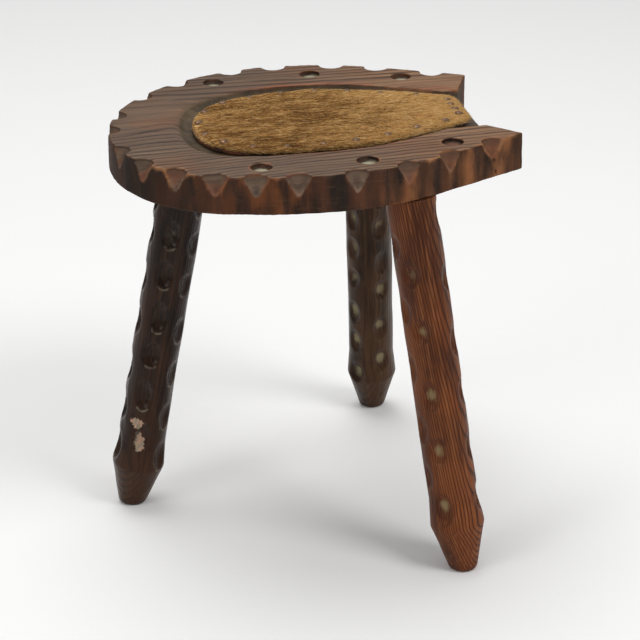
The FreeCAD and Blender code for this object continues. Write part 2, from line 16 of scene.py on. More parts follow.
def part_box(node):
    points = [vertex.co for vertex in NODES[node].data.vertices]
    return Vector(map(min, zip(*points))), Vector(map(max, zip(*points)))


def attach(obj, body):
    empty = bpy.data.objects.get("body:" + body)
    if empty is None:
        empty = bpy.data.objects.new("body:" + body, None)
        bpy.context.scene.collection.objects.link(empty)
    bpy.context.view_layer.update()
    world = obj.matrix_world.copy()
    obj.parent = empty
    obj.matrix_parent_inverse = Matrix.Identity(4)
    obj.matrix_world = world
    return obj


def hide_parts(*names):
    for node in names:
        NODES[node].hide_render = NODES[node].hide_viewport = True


bl_info = {
    "name": "Three leg stool",
    "version": (1, 0, 0),
    "blender": (4, 5, 0),
    "location": "View3D > Sidebar > Stool",
    "description": "Makes the seat, the legs, the hide pad and the studio of a three leg stool",
    "category": "Object",
}

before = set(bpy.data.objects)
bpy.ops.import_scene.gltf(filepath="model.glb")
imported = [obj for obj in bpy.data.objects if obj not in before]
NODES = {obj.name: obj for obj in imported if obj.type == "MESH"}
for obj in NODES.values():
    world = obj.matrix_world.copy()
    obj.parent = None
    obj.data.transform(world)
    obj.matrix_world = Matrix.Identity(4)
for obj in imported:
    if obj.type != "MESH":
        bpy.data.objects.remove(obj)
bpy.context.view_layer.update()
MM = 0.001
SEAT_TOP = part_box("seat_slab")[1].z
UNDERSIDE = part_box("seat_slab")[0].z
SCOOP_DEPTH = 20 * MM
ORNAMENT_FLOOR = 5.7 * MM
# Distances out from the hide: rim of the recess, divide between recess and scoops, nearest fluted side.
RIM_OUT = 15 * MM
DIVIDE_OUT = 31 * MM
SIDE_OUT = 36 * MM
HAIR_HEADING = math.radians(-40)
HEAD_RADIUS = 4.6 * MM
HEAD_HEIGHT = 2.7 * MM
SHANK_WIDTH = 0.9 * MM


# ---------------------------------------------------------------- settings


class StageSettings(bpy.types.PropertyGroup):
    """Camera, lights and floor."""

    camera_place: bpy.props.FloatVectorProperty(
        name="Camera",
        description="Where the camera stands",
        subtype="TRANSLATION",
        default=(-0.46125, -2.2538, 1.208),
    )
    camera_target: bpy.props.FloatVectorProperty(
        name="Target",
        description="Point that the camera looks at",
        subtype="TRANSLATION",
        default=(0.0165, 0.0, 0.1956),
    )
    camera_roll: bpy.props.FloatProperty(
        name="Roll",
        description="Camera turned about its own line of sight",
        subtype="ANGLE",
        default=math.radians(-0.485),
    )
    lens: bpy.props.FloatProperty(
        name="Lens", description="Focal length in millimetres", default=138.0, min=1.0
    )
    floor_colour: bpy.props.FloatVectorProperty(
        name="Floor",
        description="Floor and backdrop",
        subtype="COLOR",
        default=(0.96, 0.96, 0.955),
        min=0.0,
        max=1.0,
    )
    sky_strength: bpy.props.FloatProperty(
        name="Fill", description="Even light from all round", default=0.42, min=0.0
    )


class SeatSettings(bpy.types.PropertyGroup):
    """Carved seat board."""

    voxel: bpy.props.FloatProperty(
        name="Voxel",
        description="Mesh size of the carved board",
        subtype="DISTANCE",
        default=1.72 * MM,
        min=0.0005,
    )
    flute_depth: bpy.props.FloatProperty(
        name="Flutes",
        description="Depth of the knife flutes down the side",
        subtype="DISTANCE",
        default=2.6 * MM,
    )
    wander: bpy.props.FloatProperty(
        name="Wander", description="Slow waviness of every face", subtype="DISTANCE", default=1.2 * MM
    )
    rim_passes: bpy.props.IntProperty(
        name="Rim", description="Smoothing passes that wear the rim of the recess", default=90, min=0
    )


class LegSettings(bpy.types.PropertyGroup):
    """Gouged round legs."""

    voxel: bpy.props.FloatProperty(
        name="Voxel", description="Mesh size of a leg", subtype="DISTANCE", default=1.1 * MM, min=0.0005
    )
    depth: bpy.props.FloatProperty(
        name="Depth", description="Depth of a gouge cut", subtype="DISTANCE", default=2.7 * MM
    )
    cut_radius: bpy.props.FloatProperty(
        name="Gouge",
        description="Radius of a gouge cut across the leg",
        subtype="DISTANCE",
        default=16 * MM,
    )
    cut_length: bpy.props.FloatProperty(
        name="Sweep",
        description="Radius of a gouge cut along the leg",
        subtype="DISTANCE",
        default=23 * MM,
    )
    tilt: bpy.props.FloatProperty(
        name="Tilt",
        description="Lean of a cut, so that its lower lip is steeper",
        subtype="ANGLE",
        default=0.32,
    )


class PadSettings(bpy.types.PropertyGroup):
    """Hide, its hair, the wadding and the tacks."""

    voxel: bpy.props.FloatProperty(
        name="Voxel",
        description="Mesh size of the hide",
        subtype="DISTANCE",
        default=2.6 * MM,
        min=0.001,
    )
    pressure: bpy.props.FloatProperty(
        name="Pressure", description="Stuffing pressure under the hide", default=3.0
    )
    swell: bpy.props.FloatProperty(
        name="Swell", description="Most that the hide may rise", subtype="DISTANCE", default=4.5 * MM
    )
    hair_length: bpy.props.FloatProperty(
        name="Hair", description="Length of a hair", subtype="DISTANCE", default=11 * MM
    )
    hair_width: bpy.props.FloatProperty(
        name="Lock", description="Width of a hair at its root", subtype="DISTANCE", default=0.75 * MM
    )
    hair_density: bpy.props.FloatProperty(
        name="Density", description="Hairs in a square metre, for each shade", default=1000000.0, min=0.0
    )


# ---------------------------------------------------------------- shared tools


def select_only(*objects):
    """Select these objects only and make the first one active."""
    for other in list(bpy.context.selected_objects):
        other.select_set(False)
    for obj in objects:
        obj.select_set(True)
    bpy.context.view_layer.objects.active = objects[0]


def copy_node(node, name):
    """Merged copy of a CAD node, under a name of its own."""
    obj = NODES[node].copy()
    obj.data = NODES[node].data.copy()
    obj.name = name
    obj.data.name = name
    for key in list(obj.keys()):
        del obj[key]
    obj.parent = None
    obj.data.materials.clear()
    bpy.context.scene.collection.objects.link(obj)
    select_only(obj)
    bpy.ops.object.mode_set(mode="EDIT")
    bpy.ops.mesh.select_all(action="SELECT")
    bpy.ops.mesh.remove_doubles(threshold=0.02 * MM)
    bpy.ops.object.mode_set(mode="OBJECT")
    return obj


def apply_modifier(obj, kind, **settings):
    """Add a modifier, set it up and apply it."""
    modifier = obj.modifiers.new(kind.lower(), kind)
    for key, value in settings.items():
        setattr(modifier, key, value)
    select_only(obj)
    bpy.ops.object.modifier_apply(modifier=modifier.name)


def remesh(obj, voxel):
    """Rebuild the surface as an even net of faces."""
    apply_modifier(obj, "REMESH", mode="VOXEL", voxel_size=voxel, use_smooth_shade=True)


def wander(obj, depth, stretch, place=(0.0, 0.0, 0.0)):
    """Push the surface in and out by a soft noise, stretched along chosen axes."""
    texture = bpy.data.textures.new("wander", "CLOUDS")
    bpy.ops.object.empty_add(location=place)
    ruler = bpy.context.object
    ruler.scale = stretch
    bpy.context.view_layer.update()
    apply_modifier(
        obj,
        "DISPLACE",
        texture=texture,
        texture_coords="OBJECT",
        texture_coords_object=ruler,
        strength=depth,
    )
    bpy.data.objects.remove(ruler)
    bpy.data.textures.remove(texture)


def read_points(obj):
    """Vertex positions and normals as two arrays."""
    count = len(obj.data.vertices)
    points = np.zeros(count * 3)
    obj.data.vertices.foreach_get("co", points)
    normals = np.zeros(count * 3, np.float32)
    obj.data.vertex_normals.foreach_get("vector", normals)
    return points.reshape(-1, 3), normals.reshape(-1, 3).astype(float)


def write_points(obj, points):
    """Put vertex positions back."""
    obj.data.vertices.foreach_set("co", points.ravel())
    obj.data.update()


def write_attribute(obj, name, values):
    """Store one number a vertex, for the material."""
    attribute = obj.data.attributes.new(name, "FLOAT", "POINT")
    attribute.data.foreach_set("value", np.asarray(values, np.float32))


def weight_group(obj, name, weights):
    """Vertex group from an array of weights, in ten steps."""
    group = obj.vertex_groups.new(name=name)
    steps = np.round(np.clip(weights, 0, 1) * 10).astype(int)
    for step in range(1, 11):
        chosen = np.nonzero(steps == step)[0]
        group.add(chosen.tolist(), step / 10, "REPLACE")
    return group.name


def bulge(obj, rounds):
    """How far each vertex stands out of its neighbours' middle: arrises above zero, hollows below."""
    points, normals = read_points(obj)
    edges = np.zeros(len(obj.data.edges) * 2, np.int64)
    obj.data.edges.foreach_get("vertices", edges)
    first, second = edges.reshape(-1, 2).T
    count = len(points)
    degree = np.maximum(np.bincount(first, minlength=count) + np.bincount(second, minlength=count), 1)

    def neighbour_mean(values):
        total = np.zeros(count)
        total += np.bincount(first, values[second], count)
        total += np.bincount(second, values[first], count)
        return total / degree

    smooth = points.copy()
    for _ in range(rounds):
        smooth = np.stack([neighbour_mean(smooth[:, axis]) for axis in range(3)], axis=1)
    out = ((points - smooth) * normals).sum(1)
    for _ in range(2):
        out = 0.5 * out + 0.5 * neighbour_mean(out)
    return out


def distance_to_hide(points):
    """Distance of each point from the hide, seen from above."""
    hide_points = [vertex.co for vertex in NODES["hide_cover"].data.vertices]
    tree = KDTree(len(hide_points))
    for index, place in enumerate(hide_points):
        tree.insert((place.x, place.y, 0.0), index)
    tree.balance()
    return np.array([tree.find((x, y, 0.0))[2] for x, y, _ in points])


def scoop_bearings():
    """Bearing of every scoop from the middle of the board, found by its lowest points.

    A scoop on the border between two bins is listed twice, a hair apart.  The flutes drawn for that
    hair-thin gap leave small pits in the side below the tip of the scoop.
    """
    bins_per_radian = 20
    tips = {}
    for vertex in NODES["seat_slab"].data.vertices:
        place = vertex.co
        if abs(place.z - (SEAT_TOP - SCOOP_DEPTH)) < 0.1 * MM and place.xy.length > 0.1:
            bearing = math.atan2(place.y, place.x)
            tips[round(bearing * bins_per_radian)] = bearing
    return sorted(tips.values())


def finish_piece(obj, node, material):
    """Material, body and the CAD node that the piece stands for."""
    obj.data.materials.clear()
    obj.data.materials.append(material)
    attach(obj, "root")
    if node:
        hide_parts(node)


# ---------------------------------------------------------------- materials


def tint(code):
    """Linear colour with alpha from a six-digit paint code."""
    shades = [int(code[at : at + 2], 16) / 255 for at in (0, 2, 4)]
    return tuple(c / 12.92 if c <= 0.04045 else ((c + 0.055) / 1.055) ** 2.4 for c in shades) + (1.0,)


class Recipe:
    """Small helper that lays out one material's nodes."""

    def __init__(self, name):
        self.material = bpy.data.materials.new(name)
        self.material.use_nodes = True
        self.tree = self.material.node_tree
        self.shader = self.tree.nodes["Principled BSDF"]
        self.coordinates = self.tree.nodes.new("ShaderNodeTexCoord")
        self.place = self.coordinates.outputs["Object"]

    def put(self, socket, value):
        """Link a socket or set its value."""
        if isinstance(value, bpy.types.NodeSocket):
            self.tree.links.new(value, socket)
        elif value is not None:
            socket.default_value = value

    def node(self, kind, settings=None, **inputs):
        """Add a node, with settings and inputs by name."""
        made = self.tree.nodes.new(kind)
        for key, value in (settings or {}).items():
            setattr(made, key, value)
        for key, value in inputs.items():
            self.put(made.inputs[key.replace("_", " ")], value)
        return made

    def math(self, operation, first, second=None, third=None):
        """Arithmetic on numbers."""
        made = self.node("ShaderNodeMath", {"operation": operation})
        for socket, value in zip(made.inputs, (first, second, third)):
            self.put(socket, value)
        return made.outputs[0]

    def between(self, value, low, high, to_low=0.0, to_high=1.0):
        """Soft step from one value to another as the input goes from low to high."""
        made = self.node("ShaderNodeMapRange", {"interpolation_type": "SMOOTHSTEP"})
        for socket, number in zip(made.inputs, (value, low, high, to_low, to_high)):
            self.put(socket, number)
        return made.outputs["Result"]

    def mix(self, factor, first, second):
        """Blend of two colours."""
        made = self.node("ShaderNodeMix", {"data_type": "RGBA"})
        self.put(made.inputs["Factor"], factor)
        self.put(made.inputs["A"], first)
        self.put(made.inputs["B"], second)
        return made.outputs["Result"]

    def mapped(self, scale=(1, 1, 1), turn=(0, 0, 0), move=(0, 0, 0), source=None):
        """Object coordinates, moved, turned and scaled."""
        made = self.node("ShaderNodeMapping", Scale=scale, Rotation=turn, Location=move)
        self.put(made.inputs["Vector"], source or self.place)
        return made.outputs["Vector"]

    def noise(self, vector, scale, detail=3.0, roughness=0.55):
        """Soft noise, 0 to 1."""
        made = self.node(
            "ShaderNodeTexNoise", Vector=vector, Scale=scale, Detail=detail, Roughness=roughness
        )
        return made.outputs["Fac"]

    def ramp(self, value, *stops):
        """Colour ramp from (position, colour) stops."""
        made = self.node("ShaderNodeValToRGB")
        self.put(made.inputs["Fac"], value)
        elements = made.color_ramp.elements
        while len(elements) < len(stops):
            elements.new(0.5)
        for element, (position, colour) in zip(elements, stops):
            element.position = position
            element.color = colour
        return made.outputs["Color"]

    def attribute(self, name):
        """Number stored on the piece."""
        return self.node("ShaderNodeAttribute", {"attribute_name": name}).outputs["Fac"]

    def finish(self, colour, roughness, height, depth, distance=1.0):
        """Connect colour, roughness and relief to the shader."""
        self.put(self.shader.inputs["Base Color"], colour)
        self.put(self.shader.inputs["Roughness"], roughness)
        bump = self.node("ShaderNodeBump", Strength=depth, Distance=distance, Height=height)
        self.put(self.shader.inputs["Normal"], bump.outputs["Normal"])
        return self.material


def growth_rings(recipe, vector, spacing, waviness, taper):
    """Growth rings as cones round a pith along x: dark late wood, 0 to 1, at the end of each ring."""
    parts = recipe.node("ShaderNodeSeparateXYZ", Vector=vector)
    across = recipe.math("POWER", parts.outputs["Y"], 2.0)
    deep = recipe.math("POWER", parts.outputs["Z"], 2.0)
    radius = recipe.math("SQRT", recipe.math("ADD", across, deep))
    lean = recipe.math("MULTIPLY", parts.outputs["X"], taper)
    slow = recipe.noise(recipe.mapped((6.0, 22.0, 22.0), source=vector), 1.0, 2.0)
    quick = recipe.noise(recipe.mapped((4.0, 70.0, 70.0), source=vector), 1.0, 1.0)
    wave = recipe.math("MULTIPLY_ADD", quick, spacing * 0.9, recipe.math("MULTIPLY", slow, waviness))
    total = recipe.math("ADD", recipe.math("ADD", radius, lean), wave)
    saw = recipe.math("FRACT", recipe.math("DIVIDE", total, spacing))
    darken = recipe.between(saw, 0.4, 0.88)
    return recipe.math("MULTIPLY", darken, recipe.between(saw, 0.88, 1.0, 1.0, 0.0))


def seat_top(r, line, pith, noises, warm):
    """Grey worn top, warmer towards the heel, with dark growth lines and a rubbed rim round the recess."""
    fibres, streaks, clouds = noises
    flat = r.node("ShaderNodeSeparateXYZ", Vector=pith).outputs["Y"]
    upright = r.between(r.math("ABSOLUTE", flat), 10 * MM, 60 * MM, 0.3, 1.0)
    top = r.mix(warm, tint("5e4838"), tint("76553d"))
    streak = r.mix(warm, tint("745c47"), tint("9a7654"))
    top = r.mix(r.between(streaks, 0.35, 0.65, 0.0, 0.6), top, streak)
    top = r.mix(r.between(clouds, 0.45, 0.65, 0.0, 0.5), top, tint("7a5238"))
    rubbed = r.mix(r.between(streaks, 0.4, 0.6), tint("6a3a26"), tint("8f5a3c"))
    top = r.mix(r.attribute("ledge"), top, rubbed)
    dark = r.math("MULTIPLY", upright, r.between(streaks, 0.35, 0.6, 1.0, 0.65))
    top = r.mix(r.math("MULTIPLY", line, dark), top, tint("2b1d15"))
    top = r.mix(r.between(fibres, 0.56, 0.78, 0.0, 0.55), top, tint("9c8468"))
    return r.mix(r.between(fibres, 0.46, 0.25, 0.0, 0.5), top, tint("3a2a20"))


def seat_side(r, fibres, bands, position, warm):
    """Dark banded side with orange-brown drips, painted shade in the flutes, nearly black at the toe."""
    drips = r.noise(r.mapped((24, 24, 9), move=(2, 5, 1)), 1.0, 4.0, 0.6)
    stain = r.mix(warm, tint("4d2b1a"), tint("5e3a23"))
    side = r.mix(r.between(bands, 0.36, 0.66), tint("21150d"), stain)
    drip = r.mix(warm, tint("6f3e1e"), tint("905c38"))
    side = r.mix(r.between(drips, 0.49, 0.66, 0.0, 0.8), side, drip)
    side = r.mix(r.between(bands, 0.4, 0.3, 0.0, 0.6), side, tint("17110d"))
    side = r.mix(r.between(fibres, 0.5, 0.75, 0.0, 0.2), side, tint("7a5638"))
    # Painted shade in the knife flutes.
    shaded = r.math("MULTIPLY", r.attribute("flute"), r.between(bands, 0.35, 0.6, 0.9, 0.5))
    side = r.mix(shaded, side, tint("17100c"))
    toe_dark = r.between(position.outputs["X"], -0.17, -0.05, 0.7, 0.0)
    return r.mix(toe_dark, side, tint("1f160f"))


def seat_cuts(r, colour, fibres, streaks, blotches, position):
    """Colours of the recess and of the scoops, with painted shade under the top lip of each scoop, over
    the colour of the rest.
    """
    hollow = r.mix(r.between(blotches, 0.35, 0.7), tint("3f3528"), tint("5f503c"))
    hollow = r.mix(r.between(fibres, 0.55, 0.8, 0.0, 0.35), hollow, tint("7b6850"))
    colour = r.mix(r.attribute("recess"), colour, hollow)
    cut = r.mix(r.between(streaks, 0.35, 0.65), tint("58473a"), tint("7a6452"))
    cut = r.mix(r.between(blotches, 0.42, 0.62, 0.0, 0.8), cut, tint("774934"))
    cut = r.mix(r.between(position.outputs["X"], 0.0, 0.14, 0.0, 0.6), cut, tint("7d4d33"))
    # Painted shade: the upper band of each scoop, under its top lip, is darkened.
    high = r.between(position.outputs["Z"], SEAT_TOP - 12 * MM, SEAT_TOP - 2 * MM, 0.0, 0.6)
    cut = r.mix(high, cut, tint("44362b"))
    return r.mix(r.attribute("scoop"), colour, cut)


def seat_wear_and_shade(r, colour, clouds, blotches, position):
    """Worn arrises on the near side, painted shade in the creases, and dust on the floors of the
    ornaments.
    """
    near = r.between(position.outputs["Y"], -0.08, -0.13, 0.15, 1.0)
    patchy = r.between(blotches, 0.42, 0.6, 0.0, 1.0)
    wear = r.math("MULTIPLY", r.math("MULTIPLY", r.attribute("arris"), patchy), near)
    colour = r.mix(wear, colour, r.mix(r.between(clouds, 0.4, 0.6), tint("8a5230"), tint("b07c52")))
    # Painted shade in the creases of the board.
    colour = r.mix(r.attribute("crease_shade"), colour, tint("1b120d"))
    dust = r.math("MULTIPLY", r.attribute("dust"), r.between(blotches, 0.3, 0.5, 0.7, 1.0))
    heelward = r.between(position.outputs["X"], 0.04, 0.08)
    swept = r.math("MULTIPLY", heelward, r.between(position.outputs["Y"], 0.0, -0.05))
    return r.mix(dust, colour, r.mix(swept, tint("a09c82"), tint("6f4c39")))


def seat_wood():
    """Stained softwood: worn top, banded side, dark hollows, painted shade in the creases, flutes and
    scoops, and orange arrises.
    """
    r = Recipe("seat_wood")
    pith = r.mapped(move=(0.0, -0.05, 0.1 - SEAT_TOP), turn=(0, 0, math.radians(-2.5)))
    line = growth_rings(r, pith, 6.3 * MM, 9 * MM, 0.04)
    fibres = r.noise(r.mapped((14, 420, 420)), 1.0, 4.0, 0.65)
    streaks = r.noise(r.mapped((6, 150, 150), move=(3, 1, 0)), 1.0, 3.0, 0.6)
    clouds = r.noise(r.mapped((1, 1, 1), move=(0.3, 0.2, 0.7)), 13.0, 3.0, 0.6)
    blotches = r.noise(r.mapped((1, 1.6, 1), move=(5, 2, 1)), 26.0, 4.0, 0.6)
    bands = r.noise(r.mapped((40, 40, 7)), 1.0, 4.0, 0.6)
    position = r.node("ShaderNodeSeparateXYZ", Vector=r.place)
    warm = r.between(position.outputs["X"], -0.05, 0.16)
    normal = r.node("ShaderNodeSeparateXYZ", Vector=r.coordinates.outputs["Normal"])
    upward = r.between(normal.outputs["Z"], 0.6, 0.9)

    top = seat_top(r, line, pith, (fibres, streaks, clouds), warm)
    side = seat_side(r, fibres, bands, position, warm)
    colour = r.mix(upward, side, top)
    colour = seat_cuts(r, colour, fibres, streaks, blotches, position)
    colour = seat_wear_and_shade(r, colour, clouds, blotches, position)

    relief = r.math("ADD", r.math("MULTIPLY", line, upward), r.math("MULTIPLY", fibres, 0.5))
    relief = r.math("ADD", relief, r.math("MULTIPLY", bands, 0.4))
    rough = r.math("MULTIPLY_ADD", upward, -0.25, r.between(clouds, 0.3, 0.7, 0.7, 0.85))
    r.shader.inputs["Specular IOR Level"].default_value = 0.22
    return r.finish(colour, rough, relief, 0.6, 0.6 * MM)


def leg_wood(name, shape, look):
    """Stained leg: cathedral grain down the leg, painted shade in the hollows and creases, a painted glint
    on the lower lip of each cut, and pale worn cuts.
    """
    dark, middle, light, worn, chip = (tint(code) for code in look["tints"])
    black = (0.0, 0.0, 0.0, 1.0)
    grain, pith, lean, contrast = look["grain"]
    shine = look["shine"]
    r = Recipe(name)
    turn = shape.axis.rotation_difference(Vector((0, 0, 1)))
    upright = r.mapped(turn=turn.to_euler(), move=-(turn @ shape.foot))
    centred = r.mapped(move=(-pith[0], -pith[1], 0), source=upright)
    lying = r.mapped(turn=(0, math.radians(90), 0), source=centred)
    line = growth_rings(r, lying, grain, 7 * MM, lean)
    fibres = r.noise(r.mapped((380, 380, 12), source=upright), 1.0, 4.0, 0.65)
    clouds = r.noise(r.mapped((1, 1, 0.5), move=(1, 2, 3), source=upright), 24.0, 3.0, 0.6)
    specks = r.noise(r.mapped((1, 1, 1), move=(4, 2, 3)), 170.0, 4.0, 0.65)
    colour = r.mix(r.between(clouds, 0.35, 0.65), dark, middle)
    colour = r.mix(r.between(fibres, 0.4, 0.75, 0.0, 0.6), colour, light)
    height = r.node("ShaderNodeSeparateXYZ", Vector=upright).outputs["Z"]
    colour = r.mix(r.between(height, 100 * MM, 20 * MM, 0.0, look["foot"]), colour, light)
    colour = r.mix(r.math("MULTIPLY", line, contrast), colour, r.mix(0.35, dark, black))
    # Painted shade inside the gouge cuts, lighter in their worn middles.
    colour = r.mix(r.attribute("hollow"), colour, dark)
    broken = r.math("ADD", r.math("MULTIPLY", specks, 0.6), r.math("MULTIPLY", fibres, 0.5))
    dusty = r.between(r.math("ADD", broken, r.attribute("worn")), 0.95, 1.5, 0.0, 0.9)
    colour = r.mix(dusty, colour, worn)
    # Painted glint: a pale crescent along the lower lip of each cut.
    lip = r.math("MULTIPLY", r.attribute("lip"), r.between(specks, 0.35, 0.6, 0.0, 0.8))
    colour = r.mix(lip, colour, worn)
    flaked = r.between(r.math("ADD", r.attribute("chips"), specks), 1.02, 1.06)
    colour = r.mix(flaked, colour, r.mix(r.between(fibres, 0.4, 0.6), chip, worn))
    # Painted shade in the creases of the leg.
    colour = r.mix(r.attribute("crease_shade"), colour, r.mix(0.6, dark, black))
    relief = r.math("ADD", r.math("MULTIPLY", line, 0.8), r.math("MULTIPLY", fibres, 0.4))
    relief = r.math("SUBTRACT", relief, flaked)
    r.shader.inputs["Specular IOR Level"].default_value = 0.16
    matt = r.math("MULTIPLY", dusty, 0.4)
    rough = r.math("ADD", r.between(clouds, 0.3, 0.7, shine, shine + 0.12), matt)
    return r.finish(colour, rough, relief, 0.45, 0.5 * MM)


def hair_material(name, root, middle, tip):
    """Short coarse hair in streaks, each hair with a shade of its own."""
    r = Recipe(name)
    flow = r.mapped((48, 400, 400), turn=(0, 0, -HAIR_HEADING))
    streak = r.noise(flow, 1.0, 3.0, 0.6)
    patch = r.noise(r.mapped((1, 1.8, 1)), 16.0, 3.0, 0.6)
    position = r.node("ShaderNodeSeparateXYZ", Vector=r.place)
    heel = r.between(position.outputs["X"], 0.0, 0.14, -0.03, 0.16)
    tone = r.math("MULTIPLY_ADD", r.attribute("shade"), 0.32, r.math("MULTIPLY", streak, 0.95))
    tone = r.math("ADD", r.math("MULTIPLY_ADD", patch, 0.5, tone), heel)
    colour = r.ramp(tone, (0.7, tint(root)), (0.86, tint(middle)), (1.0, tint(tip)))
    r.shader.inputs["Specular IOR Level"].default_value = 0.3
    return r.finish(colour, 0.6, streak, 0.2, 0.1 * MM)


def hide_material():
    """Skin side and roots under the hair, with painted shade where the hide lies low."""
    r = Recipe("cowhide_skin")
    clouds = r.noise(r.mapped(), 40.0, 4.0, 0.6)
    grain = r.noise(r.mapped((60, 900, 900)), 1.0, 3.0, 0.6)
    position = r.node("ShaderNodeSeparateXYZ", Vector=r.place)
    colour = r.mix(r.between(clouds, 0.35, 0.65), tint("6b4a24"), tint("8f6a38"))
    colour = r.mix(r.between(grain, 0.4, 0.7, 0.0, 0.6), colour, tint("4d331a"))
    # Painted shade where the hide lies more than 1.5 mm below the top of the board.
    low = r.between(position.outputs["Z"], SEAT_TOP - 5 * MM, SEAT_TOP - 1.5 * MM, 1.0, 0.0)
    colour = r.mix(low, colour, r.mix(r.between(clouds, 0.4, 0.6), tint("38241a"), tint("7a4a30")))
    return r.finish(colour, r.between(grain, 0.3, 0.7, 0.6, 0.8), grain, 0.5, 0.3 * MM)


def tack_material():
    """Aged tack heads: brown patina with rubbed metal on the crown, and painted glints as pale specks."""
    r = Recipe("tack_metal")
    clouds = r.noise(r.mapped(), 320.0, 4.0, 0.65)
    glint_speck = r.noise(r.mapped(), 1400.0, 3.0, 0.6)
    colour = r.mix(r.between(clouds, 0.35, 0.65), tint("432c1b"), tint("866341"))
    # Painted glints: pale specks over the heads.
    colour = r.mix(r.between(glint_speck, 0.55, 0.75, 0.0, 0.7), colour, tint("b3926c"))
    r.put(r.shader.inputs["Metallic"], r.between(clouds, 0.4, 0.7, 0.2, 0.7))
    return r.finish(colour, r.between(clouds, 0.3, 0.7, 0.5, 0.3), glint_speck, 0.5, 0.2 * MM)


def wadding_material():
    """Matted cotton."""
    r = Recipe("matted_cotton")
    clouds = r.noise(r.mapped(), 70.0, 4.0, 0.7)
    lint = r.noise(r.mapped(), 900.0, 3.0, 0.7)
    colour = r.mix(r.between(clouds, 0.35, 0.65), tint("b7aa8e"), tint("d9cfb8"))
    r.shader.inputs["Sheen Weight"].default_value = 0.3
    return r.finish(colour, r.between(lint, 0.3, 0.7, 0.85, 1.0), lint, 0.6, 0.3 * MM)


def floor_material(colour):
    """Plain pale paper with a faint tooth."""
    r = Recipe("studio_floor")
    tooth = r.noise(r.mapped(), 220.0, 2.0)
    shade = r.mix(r.between(tooth, 0.3, 0.7, 0.0, 0.02), tuple(colour) + (1.0,), (0.7, 0.7, 0.7, 1.0))
    return r.finish(shade, 0.9, tooth, 0.05, 0.1 * MM)


# ---------------------------------------------------------------- operators


class STOOL_OT_stage(bpy.types.Operator):
    """Floor, lights and camera"""

    bl_idname = "stool.stage"
    bl_label = "Studio"

    def execute(self, context):
        settings = context.scene.stool_stage
        for other in list(context.selected_objects):
            other.select_set(False)
        bpy.ops.mesh.primitive_plane_add(size=16.0, location=(0, 0, 0))
        floor = context.object
        floor.name = "studio_floor"
        floor.data.materials.append(floor_material(settings.floor_colour))
        self.light(context)
        self.camera(context, settings)
        return {"FINISHED"}

    def light(self, context):
        """Even sky, a broad key light from the front right, a top light and a weak one from the left."""
        settings = context.scene.stool_stage
        world = bpy.data.worlds.new("studio")
        world.use_nodes = True
        background = world.node_tree.nodes["Background"]
        background.inputs["Color"].default_value = (1.0, 1.0, 1.0, 1.0)
        background.inputs["Strength"].default_value = settings.sky_strength
        context.scene.world = world
        context.scene.view_settings.view_transform = "Standard"
        lamps = (
            ("key", (1.5, -1.6, 2.6), 1.3, 34.0),
            ("top", (-0.3, 0.9, 3.0), 2.2, 40.0),
            ("left", (-2.2, -1.2, 1.8), 1.2, 12.0),
        )
        for name, place, size, power in lamps:
            bpy.ops.object.light_add(type="AREA", location=place)
            lamp = context.object
            lamp.name = name
            lamp.data.shape = "DISK"
            lamp.data.size = size
            lamp.data.energy = power
            aim = Vector((0, 0, 0.25)) - Vector(place)
            lamp.rotation_euler = aim.to_track_quat("-Z", "Y").to_euler()

    def camera(self, context, settings):
        """Camera at the viewing angle, with its slight roll."""
        place = Vector(settings.camera_place)
        aim = Vector(settings.camera_target) - place
        bpy.ops.object.camera_add(location=place)
        camera = context.object
        camera.name = "camera"
        camera.data.sensor_width = 36.0
        camera.data.lens = settings.lens
        turn = aim.to_track_quat("-Z", "Y").to_matrix() @ Matrix.Rotation(settings.camera_roll, 3, "Z")
        camera.rotation_euler = turn.to_euler()
        context.scene.camera = camera


